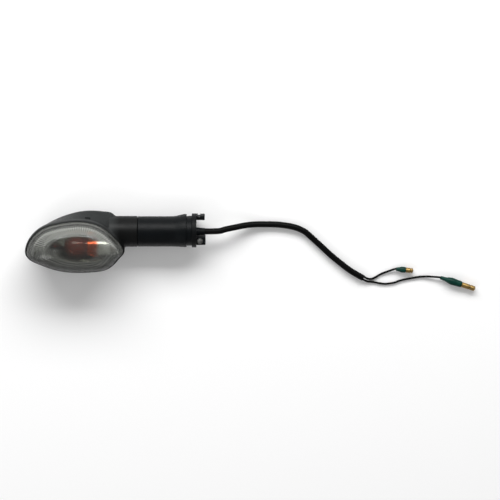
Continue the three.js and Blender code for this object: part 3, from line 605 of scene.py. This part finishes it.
def between(tree, start, end, low, high):
    """A value that runs from low to high between two stations along the head."""
    along = node(tree, "SeparateXYZ", {"Vector": node(tree, "TexCoord").outputs["Object"]}).outputs["X"]
    return spread(tree, along, low, high, *(row([x, 0, 0])[0] for x in (start, end)))


def solid_finish(name, colour, rough, metal=0, vary=0.15, patch=70, grain=2600, relief=0.012, edge_wear_and_sheen=0,
                 shine=0.5, painted_shade=None, painted_reflection=None):
    """Opaque finish: patchy colour and roughness, fine grain relief, edges lightened by pointiness as rubbed
    wear and painted sheen, and where asked a painted shade and a painted reflection along the head.
    """
    material, tree = shader(name)
    blotch = noise(tree, patch, 4)
    fine = noise(tree, grain)
    factor = spread(tree, blotch, 1 - vary, 1 + vary)
    # Edges lightened by pointiness: partly rubbed wear, partly a painted sheen on the edges.
    if edge_wear_and_sheen:
        edge = node(tree, "NewGeometry").outputs["Pointiness"]
        rubbed_and_lit_edge = spread(tree, edge, 0, edge_wear_and_sheen, 0.52, 0.6)
        factor = node(tree, "Math", {0: factor, 1: rubbed_and_lit_edge}, operation="ADD").outputs["Value"]
    # Painted shade: the colour darkens along the head from the first station to the second, down to the given
    # share; on the housing this darkens the neck, standing in for shade that falls on it.
    if painted_shade:
        start, end, share = painted_shade
        factor = node(tree, "Math", {0: factor, 1: between(tree, start, end, 1, share)},
                      operation="MULTIPLY").outputs["Value"]
    both = node(tree, "Math", {0: blotch, 1: fine}, operation="ADD").outputs["Value"]
    bump = node(tree, "Bump", {"Height": fine, "Strength": 0.6, "Distance": relief * MM * 10})
    base = tinted(tree, colour, factor)
    # Painted reflection: the colour turns to red towards the glass, fully red before the first station and
    # plain after the second, standing in for the amber bulb reflected in the metal.
    if painted_reflection:
        start, end, reflected_colour = painted_reflection
        share = between(tree, start, end, 1, 0)
        mixed = node(tree, "MixRGB", {"Fac": share, "Color1": base, "Color2": reflected_colour})
        base = mixed.outputs["Color"]
    bsdf = node(tree, "BsdfPrincipled", {
        "Base Color": base,
        "Roughness": spread(tree, both, rough * 0.8, min(rough * 1.25, 1), 0.7, 1.3),
        "Metallic": metal,
        "Normal": bump.outputs["Normal"],
        "Specular IOR Level": shine,
    })
    node(tree, "OutputMaterial", {"Surface": bsdf.outputs["BSDF"]})
    return material


def clear_finish(name, tint, rough, body=0.0, body_colour=(0.5, 0.5, 0.5, 1), hazed_with_painted_strokes=False, gloss_share=0.9):
    """Clear finish: light passes straight through with a tint, and the surface reflects."""
    material, tree = shader(name)
    smudge = noise(tree, 160, 4)
    fine = noise(tree, 900, 2)
    bump = node(tree, "Bump", {"Height": fine, "Strength": 0.15, "Distance": 0.00005}).outputs["Normal"]
    through = node(tree, "BsdfTransparent", {"Color": tint}).outputs["BSDF"]
    gloss = node(tree, "BsdfGlossy", {
        "Color": (*[gloss_share] * 3, 1), "Normal": bump,
        "Roughness": spread(tree, smudge, rough * 0.7, rough * 1.6),
    }).outputs["BSDF"]
    fresnel = node(tree, "Fresnel", {"IOR": 1.49, "Normal": bump}).outputs["Fac"]
    haze = node(tree, "BsdfPrincipled", {
        "Base Color": body_colour, "Roughness": 0.3, "Normal": bump,
    }).outputs["BSDF"]
    amount = spread(tree, smudge, body * 0.8, body * 1.2)
    if hazed_with_painted_strokes:
        # The per-vertex haze attribute adds grey haze; on the lens's flute crests this haze is painted
        # highlight.
        haze_and_painted_highlight = node(tree, "Attribute", attribute_name="haze_and_painted_highlight").outputs["Fac"]
        amount = node(tree, "Math", {0: haze_and_painted_highlight, 1: 0.85, 2: amount}, operation="MULTIPLY_ADD").outputs["Value"]
    hazy = node(tree, "MixShader", {0: amount, 1: through, 2: haze}).outputs["Shader"]
    whole = node(tree, "MixShader", {0: fresnel, 1: hazy, 2: gloss}).outputs["Shader"]
    node(tree, "OutputMaterial", {"Surface": whole})
    return material


FINISH = {
    "lens_clear": clear_finish(
        "lens_clear", (0.8, 0.81, 0.78, 1), 0.06, 0.03, (0.46, 0.47, 0.44, 1),
        hazed_with_painted_strokes=True, gloss_share=0.42),
    "bulb_amber": clear_finish("bulb_amber", (0.8, 0.15, 0.05, 1), 0.03, 0.24, (0.42, 0.05, 0.012, 1)),
    "bulb_clear": clear_finish("bulb_clear", (0.93, 0.95, 0.94, 1), 0.03),
}
SOLID_FINISHES = {
    # Housing: its neck darkened from x = 66 to 72 mm as painted shade; its edges lightened as rubbed wear and
    # painted sheen.
    "housing_plastic": dict(
        colour=(0.0165, 0.018, 0.018), rough=0.42, edge_wear_and_sheen=0.5, grain=3200, shine=0.12, painted_shade=(66, 72, 0.12)),
    "rubber_black": dict(colour=(0.0016, 0.0024, 0.003), rough=0.38, vary=0.3, relief=0.02, shine=0.1),
    "plated_steel": dict(colour=(0.62, 0.62, 0.6), rough=0.22, metal=1, vary=0.08, grain=1800, relief=0.003),
    "steel_dull": dict(
        colour=(0.22, 0.22, 0.21), rough=0.3, metal=1, vary=0.2, patch=500, grain=3000, relief=0.004),
    "plated_painted_reflection": dict(
        # Cap and socket shell: a red painted reflection of the amber glass on their ends towards the bulb,
        # fading out from x = 53.5 to 56.5 mm.
        colour=(0.75, 0.75, 0.73), rough=0.25, metal=1, vary=0.08, grain=1800, relief=0.003,
        painted_reflection=(53.5, 56.5, (0.6, 0.11, 0.045, 1))),
    "reflector_silver": dict(
        colour=(0.5, 0.5, 0.47), rough=0.14, metal=1, vary=0.05, grain=500, relief=0.006),
    "filament_metal": dict(colour=(0.25, 0.25, 0.26), rough=0.35, metal=1, grain=6000),
    "resin_brown": dict(colour=(0.06, 0.03, 0.015), rough=0.5),
    "brass": dict(
        colour=(0.26, 0.17, 0.06), rough=0.4, metal=1, vary=0.25, patch=400, grain=3000, relief=0.006),
    "cable_black": dict(
        colour=(0.0022, 0.0022, 0.0022), rough=0.4, vary=0.3, grain=1500, relief=0.006, shine=0.05),
    # Bracket: edges lightened by pointiness, partly rubbed wear, partly painted sheen.
    "bracket_plastic": dict(colour=(0.002, 0.0024, 0.0028), rough=0.45, edge_wear_and_sheen=0.8, grain=3200, shine=0.1),
    "sleeve_green": dict(
        colour=(0.002, 0.028, 0.02), rough=0.35, vary=0.25, patch=300, relief=0.004, shine=0.11),
}
FINISH |= {name: solid_finish(name, **look) for name, look in SOLID_FINISHES.items()}
CAD_FINISH = {
    "lens_gasket": "rubber_black", "screw_seal": "rubber_black", "neck_seal": "rubber_black",
    "bulb_insulator": "resin_brown", "socket_cup": "resin_brown", "plunger_disc": "resin_brown",
    "bulb_contact": "plated_steel", "centre_contact": "brass", "ground_terminal": "brass",
    "signal_lead": "sleeve_green", "ground_lead": "cable_black",
}
for cad_node, finish in CAD_FINISH.items():
    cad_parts[cad_node].data.materials.clear()
    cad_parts[cad_node].data.materials.append(FINISH[finish])

# ---------------------------------------------------------------- head pieces
place(housing(), "housing_shell", "head", "housing_plastic", ["housing"])
place(lens(), "lens_dome", "head", "lens_clear", ["lens"], 60)
place(lens_feet(), "lens_feet", "head", "lens_clear", ["lens"])
place(reflector(), "reflector_dish", "head", "reflector_silver", ["reflector"])

screw = turned("screw", rounded([
    [-5.8, 0], [-5.8, 2.5], [-5.2, SCREW_HEAD_RADIUS], [-3.4, SCREW_HEAD_RADIUS], [-3.4, SCREW_RADIUS],
    [6.4, SCREW_RADIUS], [SCREW_REACH, 0],
], 0.25), *SCREW, axis="Z")
x, y = SCREW
slots = [block([x - a, y - b, -7], [x + a, y + b, -4.6]) for a, b in ((1.9, 0.4), (0.4, 1.9))]
place(combine(screw, slots), "screw", "head", "plated_steel", ["lens_screw"])

# ---------------------------------------------------------------- bulb
def glass_line(wall):
    """Side of the glass from its tip to inside the cap, wall inside the outer face."""
    r = GLASS_RADIUS - wall
    neck = CAP_RADIUS - GLASS_WALL - wall
    middle = BULB_TIP + GLASS_RADIUS
    nose = [[middle - r * math.cos(a), r * math.sin(a)] for a in np.linspace(0, 1.5, 14)]
    waist = [[CAP_START - 5.2 + 4.9 * t, r - 0.05 + (neck - r) * step(t, 0, 1)] for t in np.linspace(0, 1, 9)]
    return [*nose, *waist, [CAP_START + 4.8, neck]]


place(turned("glass", [*glass_line(0), *glass_line(GLASS_WALL)[::-1]], BULB_Y, BULB_Z),
      "glass", "bulb", "bulb_amber", ["bulb_glass"], 50)
place(turned("stem", rounded([
    [43.3, 0], [43.3, 1.6], [47.3, 2.2], [51.3, 5.5], [52.3, 5.5], [52.3, 0],
], 0.6), BULB_Y, BULB_Z), "stem", "bulb", "bulb_clear", ["bulb_stem"])


def wire(name, points, radius, count, sides=10):
    """Closed round wire through the points, as a mesh."""
    path = spline(points, count)
    along = np.gradient(path, axis=0)
    along /= np.linalg.norm(along, axis=1)[:, None]
    side = np.cross(along[0], [0.3, 0.2, 1])
    rings = []
    for p, t in zip(path, along):
        side = side - t * (side @ t)
        side /= np.linalg.norm(side)
        other = np.cross(t, side)
        turn = 2 * math.pi * np.arange(sides) / sides
        rings.append(p + radius * (np.outer(np.cos(turn), side) + np.outer(np.sin(turn), other)))
    return skin(name, rings)


COIL_RADIUS = 0.45
COIL_TURNS = 9
post = [[43, 1], [40, 2.6], [37.8, 3.1]]
route = [[a, BULB_Y + b, BULB_Z] for a, b in post]
for t in np.linspace(0, 1, 109):
    turn = 2 * math.pi * COIL_TURNS * t
    route.append([37 + COIL_RADIUS * math.sin(turn), BULB_Y + (2.6 - 5.2 * t),
                  BULB_Z + COIL_RADIUS * math.cos(turn) - COIL_RADIUS])
route += [[a, BULB_Y - b, BULB_Z] for a, b in post[::-1]]
supports = [wire("support", ends, 0.3, 20) for ends in (route[:4], route[-4:])]
place(merged("filament", [wire("coil", route[3:-3], 0.1, 500, 6), *supports]),
      "filament", "bulb", "filament_metal", ["bulb_filament"])

cap = turned("cap", rounded([
    [CAP_START, 7.1], [CAP_START, CAP_RADIUS], [CAP_END - 1, CAP_RADIUS], [CAP_END, 6.6], [CAP_END, 5.6],
    [CAP_END - 0.8, 5.6],
    [CAP_END - 0.8, 6.2], [CAP_END - 1.4, 7.1], [CAP_START, 7.1],
], 0.2)[:-1], BULB_Y, BULB_Z, loop=True)
pin_line = rounded([[-CAP_RADIUS - PIN_HEIGHT, 0], [-CAP_RADIUS - PIN_HEIGHT, 1], [-6.8, 1], [-6.8, 0]], 0.15)
pins = []
at_pins = Matrix.Translation((PIN_X, BULB_Y, BULB_Z))
for way in (1, -1):
    pin = turned("pin", pin_line, BULB_Z, PIN_X, 24)
    aside = Matrix.Rotation(way * math.pi / 2, 4, "Z")
    pin.data.transform(at_pins @ aside @ Matrix.Translation((0, -BULB_Z, -PIN_X)))
    pins.append(pin)
place(merged("cap", [cap, *pins]), "cap", "bulb", "plated_painted_reflection", ["bulb_cap"])

# ---------------------------------------------------------------- socket
shell = turned("shell", rounded([
    [SHELL_START, SHELL_BORE], [SHELL_START, SHELL_RADIUS], [SHELL_END, SHELL_RADIUS], [SHELL_END, CUP_BORE],
    [SHELL_END - 0.8, CUP_BORE], [SHELL_END - 0.8, SHELL_BORE], [SHELL_START, SHELL_BORE],
], 0.15)[:-1], BULB_Y, BULB_Z, loop=True)
SLOT_HALF = 1.3
sweep = SHELL_RADIUS * math.sin(math.radians(TURN_DEGREES)) + SLOT_HALF
ways = []
for side in (0, 180):
    cross = block([PIN_X - SLOT_HALF, 6, -SLOT_HALF], [PIN_X + 2.8, 9.2, sweep])
    entry = block([SHELL_START - 1, 6, -SLOT_HALF], [PIN_X + 2.8, 9.2, SLOT_HALF])
    entry.data.transform(Matrix.Rotation(math.radians(TURN_DEGREES), 4, "X"))
    around = Matrix.Rotation(math.radians(side), 4, "X")
    for way in (cross, entry):
        way.data.transform(Matrix.Translation((0, BULB_Y, BULB_Z)) @ around)
        ways.append(way)
place(combine(shell, ways), "shell", "head", "plated_painted_reflection", ["socket_shell"])

steps = 120
route = []
for i in range(steps + 1):
    turn = 2 * math.pi * SPRING_TURNS * i / steps
    route.append([SPRING_START + SPRING_RUN * i / steps, BULB_Y + SPRING_RADIUS * math.cos(turn),
                  BULB_Z + SPRING_RADIUS * math.sin(turn)])
spring = place(wire("spring", route, SPRING_WIRE, 240), "spring", "head", "plated_steel", ["contact_spring"])
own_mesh(spring)

# ---------------------------------------------------------------- rubber stalk
def stalk_line(start, end):
    """Outside of the stalk between two stations, as [along, radius, rise]."""
    line = []
    flare_start = GROOVE_START - FLARE_LENGTH
    for along in np.arange(start, end + 0.01, (end - start) / 48):
        ease = step(along, flare_start, GROOVE_START)
        radius = STALK_RADIUS + ease * (FLARE_RADIUS - STALK_RADIUS)
        line.append([along, radius, ease * FLARE_RISE])
    return line


SOCKET_BORE = SPIGOT_RADIUS + GAP
head_end = STALK_START - 0.2
head_corner = rounded([[head_end, SOCKET_BORE], [head_end, STALK_RADIUS], [88, STALK_RADIUS]], 0.25)[:-1]
head_side = [
    *[[a, r, 0] for a, r in head_corner],
    *stalk_line(STALK_START + 1, STALK_MIDDLE),
    [STALK_MIDDLE, STALK_BORE, 0], [SPIGOT_END + GAP, STALK_BORE, 0], [SPIGOT_END + GAP, SOCKET_BORE, 0],
    *[[a, SOCKET_BORE, 0] for a in np.linspace(94, 86, 9)[:-1]],
]
mount_side = [
    *stalk_line(STALK_MIDDLE, GROOVE_START - 0.5),
    [GROOVE_START - 0.15, FLARE_RADIUS - 0.1, FLARE_RISE], [GROOVE_START, FLARE_RADIUS - 0.45, FLARE_RISE],
    [GROOVE_START, GROOVE_RADIUS, GROOVE_RISE], [STALK_END + 0.2, GROOVE_RADIUS, GROOVE_RISE],
    [STALK_END + 0.4, GROOVE_RADIUS - 0.2, GROOVE_RISE],
    [STALK_END + 0.4, SOCKET_BORE, 0],
    *[[a, SOCKET_BORE, 0] for a in np.linspace(126, MOUNT_SPIGOT_START - GAP, 9)],
    [MOUNT_SPIGOT_START - GAP, STALK_BORE, 0],
    *[[a, STALK_BORE, 0] for a in np.linspace(116, STALK_MIDDLE, 8)],
]
neck_rubber = place(turned("neck_rubber", head_side, sides=96, loop=True),
                    "stalk_neck", None, "rubber_black", ["rubber_stalk"])
mount_rubber = place(turned("mount_rubber", mount_side, sides=96, loop=True),
                     "stalk_foot", None, "rubber_black", ["rubber_stalk"])


def core(start, end, name):
    """Stretch of the cable inside the stalk."""
    line = [[start, 0], *[[a, CABLE_RADIUS] for a in np.linspace(start, end, 40)], [end, 0]]
    return place(turned(name, line, sides=32), name, None, "cable_black", ["stalk_cable"])


neck_core = core(NECK_END - 4, STALK_MIDDLE, "core_neck")
mount_core = core(STALK_MIDDLE, GROMMET_END - GAP, "core_foot")
for piece in (neck_rubber, neck_core):
    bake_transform(piece)
for piece in (mount_rubber, mount_core):
    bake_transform(piece)

# ---------------------------------------------------------------- mount
bracket = turned("bracket", rounded([
    [FLANGE_START, 0, FLANGE_RISE], [FLANGE_START, FLANGE_RADIUS, FLANGE_RISE],
    [FLANGE_END, FLANGE_RADIUS, FLANGE_RISE], [FLANGE_END, 0, FLANGE_RISE],
], 0.5), sides=96)
recess_line = [[FLANGE_START - 1, 0], [FLANGE_START - 1, GROOVE_RADIUS + GAP],
               [FLANGE_START + GAP, GROOVE_RADIUS + GAP], [FLANGE_START + GAP, 0]]
recess = turned("recess", [[a, r, GROOVE_RISE] for a, r in recess_line])
upper_lug = block([FLANGE_END - 1, 9.9, -3.2], [FLANGE_END + 6.4, 13.4, 3.2], 0.5)
lower_lug = block([FLANGE_END - 1, -9.8, -4], [FLANGE_END + 7, -3.5, 4], 0.5)
mount_spigot = rod(MOUNT_SPIGOT_START, FLANGE_END - 1, SPIGOT_RADIUS)
combine(bracket, [recess])
combine(bracket, [mount_spigot, upper_lug, lower_lug], "UNION")
combine(bracket, [
    rod(MOUNT_SPIGOT_START - 1, FLANGE_END + 8, GROMMET_RADIUS + GAP),
    rod(-8, 8, BUSH_RADIUS + GAP, *BUSH, axis="Z"),
    block([FLANGE_END + 1, 12.4, -4.2], [FLANGE_END + 3, 14.4, 4.2]),
])
place(bracket, "bracket", "mount", "bracket_plastic", ["mount_bracket"])
place(turned("bush", rounded([
    [-4, BUSH_BORE], [-4, BUSH_RADIUS], [4, BUSH_RADIUS], [4, BUSH_BORE], [-4, BUSH_BORE],
], 0.15)[:-1], *BUSH, 48, True, "Z"), "bush", "mount", "steel_dull", ["bracket_bush"])
ribs = []
for k in range(3):
    rib = ((132.6, 3.05), (133.0, 2.95), (133.1, 2.72), (133.8, 2.7))
    ribs += [[a + k * 1.35, r - 0.1 * k] for a, r in rib]
bore = CABLE_RADIUS + GAP
place(turned("grommet", [
    [FLANGE_START - 5, bore], [FLANGE_START - 5, GROMMET_RADIUS], [FLANGE_END + 2, GROMMET_RADIUS], *ribs,
    [GROMMET_END - 0.1, 2.8], [GROMMET_END, 2.7], [GROMMET_END, bore],
], sides=48, loop=True), "grommet", "mount", "rubber_black", ["cable_grommet"])

# ---------------------------------------------------------------- free cable
# Routes as in the CAD model: along, across, height over the surface.
SHEATH_ROUTE = [
    [0, 0, 13], [6, 0, 12.8], [11.5, 0.1, 12.1], [15.3, 0.9, 11], [23, 1.8, 8.5], [30.7, 2.5, 5.8],
    [38.3, 2.7, 3.8], [46, 2.4, 2.7], [53.7, 2.2, 2.5], [61.4, 1.4, 2.5], [69, -0.2, 2.5],
    [72.9, -1.8, 2.5], [76.7, -3.9, 2.5], [80.5, -7.4, 2.5], [88.2, -14.7, 2.5], [95.9, -22.2, 2.5],
    [103.5, -28.8, 2.5], [111.2, -34.9, 2.5], [118.9, -39.7, 2.5], [121.2, -40.9, 2.5],
]
SIGNAL_ROUTE = [
    [-0.2, -1.1, 2.5], [3, -3, 1.7], [6.7, -3.7, 1.1], [9.2, -4.1, 1], [13, -4.9, 1], [16.9, -5.3, 1],
    [20.7, -4.9, 1], [24.5, -4.1, 1], [28.4, -2.6, 1], [36, -0.9, 1], [43.7, 0.5, 1.2], [49.5, 0.9, 1.8],
    [55.2, 0.8, 2.6], [58.7, 0.6, 2.9],
]
GROUND_ROUTE = [
    [0.8, 0.8, 2.5], [3.5, -0.9, 1.7], [6.5, -1.2, 1.2], [9.4, 0, 1], [13, 2.3, 1], [16.9, 4.1, 1.2],
    [20.7, 5.7, 1.8], [24.6, 7.2, 2.4],
]
# Plugs: sleeve as [along, radius], the bullet's bare length, and the heading from +X in degrees.
SIGNAL_PLUG = {
    "sleeve": [[0, 1.3], [4, 1.6], [8.5, 2.7], [12.5, 2.6], [17, 2.3]], "bullet": 11, "heading": -19,
}
GROUND_PLUG = {"sleeve": [[0, 1.3], [2.4, 1.7], [4.4, 2.3], [7.4, 2.1]], "bullet": 5.6, "heading": -6}
sheath_start = np.array([GROMMET_END + GAP, 0, -HEAD_BACK])
sheath_points = sheath_start + SHEATH_ROUTE
wire_start = np.array([*sheath_points[-1][:2], -HEAD_BACK])


def cable(name, points, radius, finish, replaced, count):
    """Free cable along the points: returns the curve, its points and its length in metres."""
    path = row(spline(points, count))
    curve = bpy.data.curves.new(name, "CURVE")
    curve.dimensions = "3D"
    curve.bevel_depth = radius * MM
    curve.bevel_resolution = 6
    curve.use_fill_caps = True
    line = curve.splines.new("POLY")
    line.points.add(len(path) - 1)
    line.points.foreach_set("co", np.column_stack([path, np.ones(len(path))]).ravel())
    line.use_smooth = True
    obj = bpy.data.objects.new(name, curve)
    bpy.context.scene.collection.objects.link(obj)
    curve.materials.append(FINISH[finish])
    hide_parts(replaced)
    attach(obj, "mount")
    return obj, path, float(np.linalg.norm(np.diff(path, axis=0), axis=1).sum())


def plug(name, route, plan):
    """Sleeve and bullet terminal after a wire's last point."""
    rest = Matrix.Translation(wire_start + route[-1]) @ Matrix.Rotation(math.radians(plan["heading"]), 4, "Z")
    end = plan["sleeve"][-1][0] + 0.6
    tube_line = spline([[0.6, 1.3], *[[a + 0.6, r] for a, r in plan["sleeve"][1:]]], 40)
    sleeve = turned("sleeve", [
        [1.4, 0], [1.4, 0.85], [0.6, 0.95], *tube_line, [end, tube_line[-1][1] - 0.5], [end, 0],
    ], sides=48)
    start, length = end + GAP, plan["bullet"]
    groove = start + length * 0.55
    full = BULLET_RADIUS
    bullet = turned("bullet", rounded([
        [start - 2.5, 0], [start - 2.5, 1.4], [start, 1.4], [start, full],
        [groove, full], [groove + 0.4, full - 0.5], [groove + 0.8, full],
        [start + length - 1, full], [start + length - 0.3, full - 0.6], [start + length, 0],
    ], 0.25), sides=48)
    for piece in (sleeve, bullet):
        piece.data.transform(rest)
    return [place(sleeve, name + "_sleeve_skin", "mount", "sleeve_green", [name + "_sleeve"]),
            place(bullet, name + "_bullet_skin", "mount", "brass", [name + "_bullet"])]


inside_grommet = sheath_points[0] - [0.55, 0, 0]
sheath, path, length = cable(
    "sheath", [inside_grommet, *sheath_points], CABLE_RADIUS, "cable_black", "cable_sheath", 260)
for name, route, plan, lead_in in (
    ("signal", SIGNAL_ROUTE, SIGNAL_PLUG, [-3.4, 0.6, 2.5]),
    ("ground", GROUND_ROUTE, GROUND_PLUG, [-2.6, 2.6, 2.5]),
):
    turn = math.radians(plan["heading"])
    tip = np.array(route[-1]) + [1.8 * math.cos(turn), 1.8 * math.sin(turn), 0]
    points = wire_start + np.array([lead_in, *route, tip])
    lead, path, length = cable(name + "_lead_free", points, LEAD_RADIUS, "cable_black", name + "_wire", 160)
    ends = plug(name, np.array(route), plan)

# ---------------------------------------------------------------- floor and light
floor_material, tree = shader("floor")
speck = noise(tree, 900, 2)
floor_bsdf = node(tree, "BsdfPrincipled", {
    "Base Color": tinted(tree, (0.93, 0.93, 0.93), spread(tree, speck, 0.995, 1.005)), "Roughness": 0.9,
    "Specular IOR Level": 0.1,
})
node(tree, "OutputMaterial", {"Surface": floor_bsdf.outputs["BSDF"]})
floor = mesh_object("floor", [(-4, -4, 0), (4, -4, 0), (4, 4, 0), (-4, 4, 0)], [(0, 1, 2, 3)])
floor.data.materials.append(floor_material)


def softbox(name, place_at, aim, size, power):
    data = bpy.data.lights.new(name, "AREA")
    data.shape = "RECTANGLE"
    data.size, data.size_y = size
    data.energy = power
    light = bpy.data.objects.new(name, data)
    light.location = place_at
    light.rotation_euler = (Vector(aim) - Vector(place_at)).to_track_quat("-Z", "Y").to_euler()
    bpy.context.scene.collection.objects.link(light)


softbox("key", (0, 1.5, 0.95), (0, 0, 0), (2.2, 0.6), 50)
softbox("fill", (-1.1, -1.1, 1.3), (0, 0, 0), (0.8, 0.6), 5)
world = bpy.data.worlds.new("world")
world.use_nodes = True
world.node_tree.nodes["Background"].inputs["Color"].default_value = (1, 1, 1, 1)
world.node_tree.nodes["Background"].inputs["Strength"].default_value = 0.4
bpy.context.scene.world = world
bpy.context.scene.view_settings.view_transform = "Standard"
